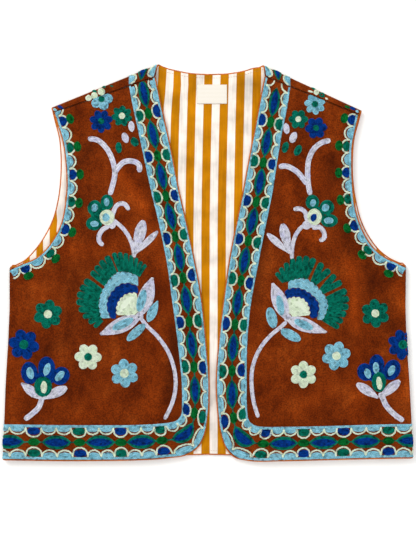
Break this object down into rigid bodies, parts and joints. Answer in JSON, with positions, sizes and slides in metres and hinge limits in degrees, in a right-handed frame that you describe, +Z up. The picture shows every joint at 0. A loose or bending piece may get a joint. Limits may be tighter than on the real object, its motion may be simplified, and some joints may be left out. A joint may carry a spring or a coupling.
{
  "type": "waistcoat",
  "caption": "Sleeveless open waistcoat laid flat: velvet with embroidered borders and flowers on the fronts, over a striped cotton lining.",
  "frame": {"origin": "middle of the garment's bounding box, on the surface it lies on", "axes": "+X to the right as the garment is seen from above, +Y from the hem towards the neck, +Z up from the surface"},
  "size_m": [0.5475, 0.5301, 0.0099],
  "materials": {
    "velvet": "rust-brown cotton velvet with chain-stitch embroidery",
    "lining": "cotton with mustard and off-white stripes",
    "label": "woven ribbon"
  },
  "bodies": {
    "root": {"back_velvet": "velvet", "front_left_velvet": "velvet", "front_right_velvet": "velvet", "back_lining": "lining", "front_left_lining": "lining", "front_right_lining": "lining", "label": "label"}
  },
  "joints": []
}
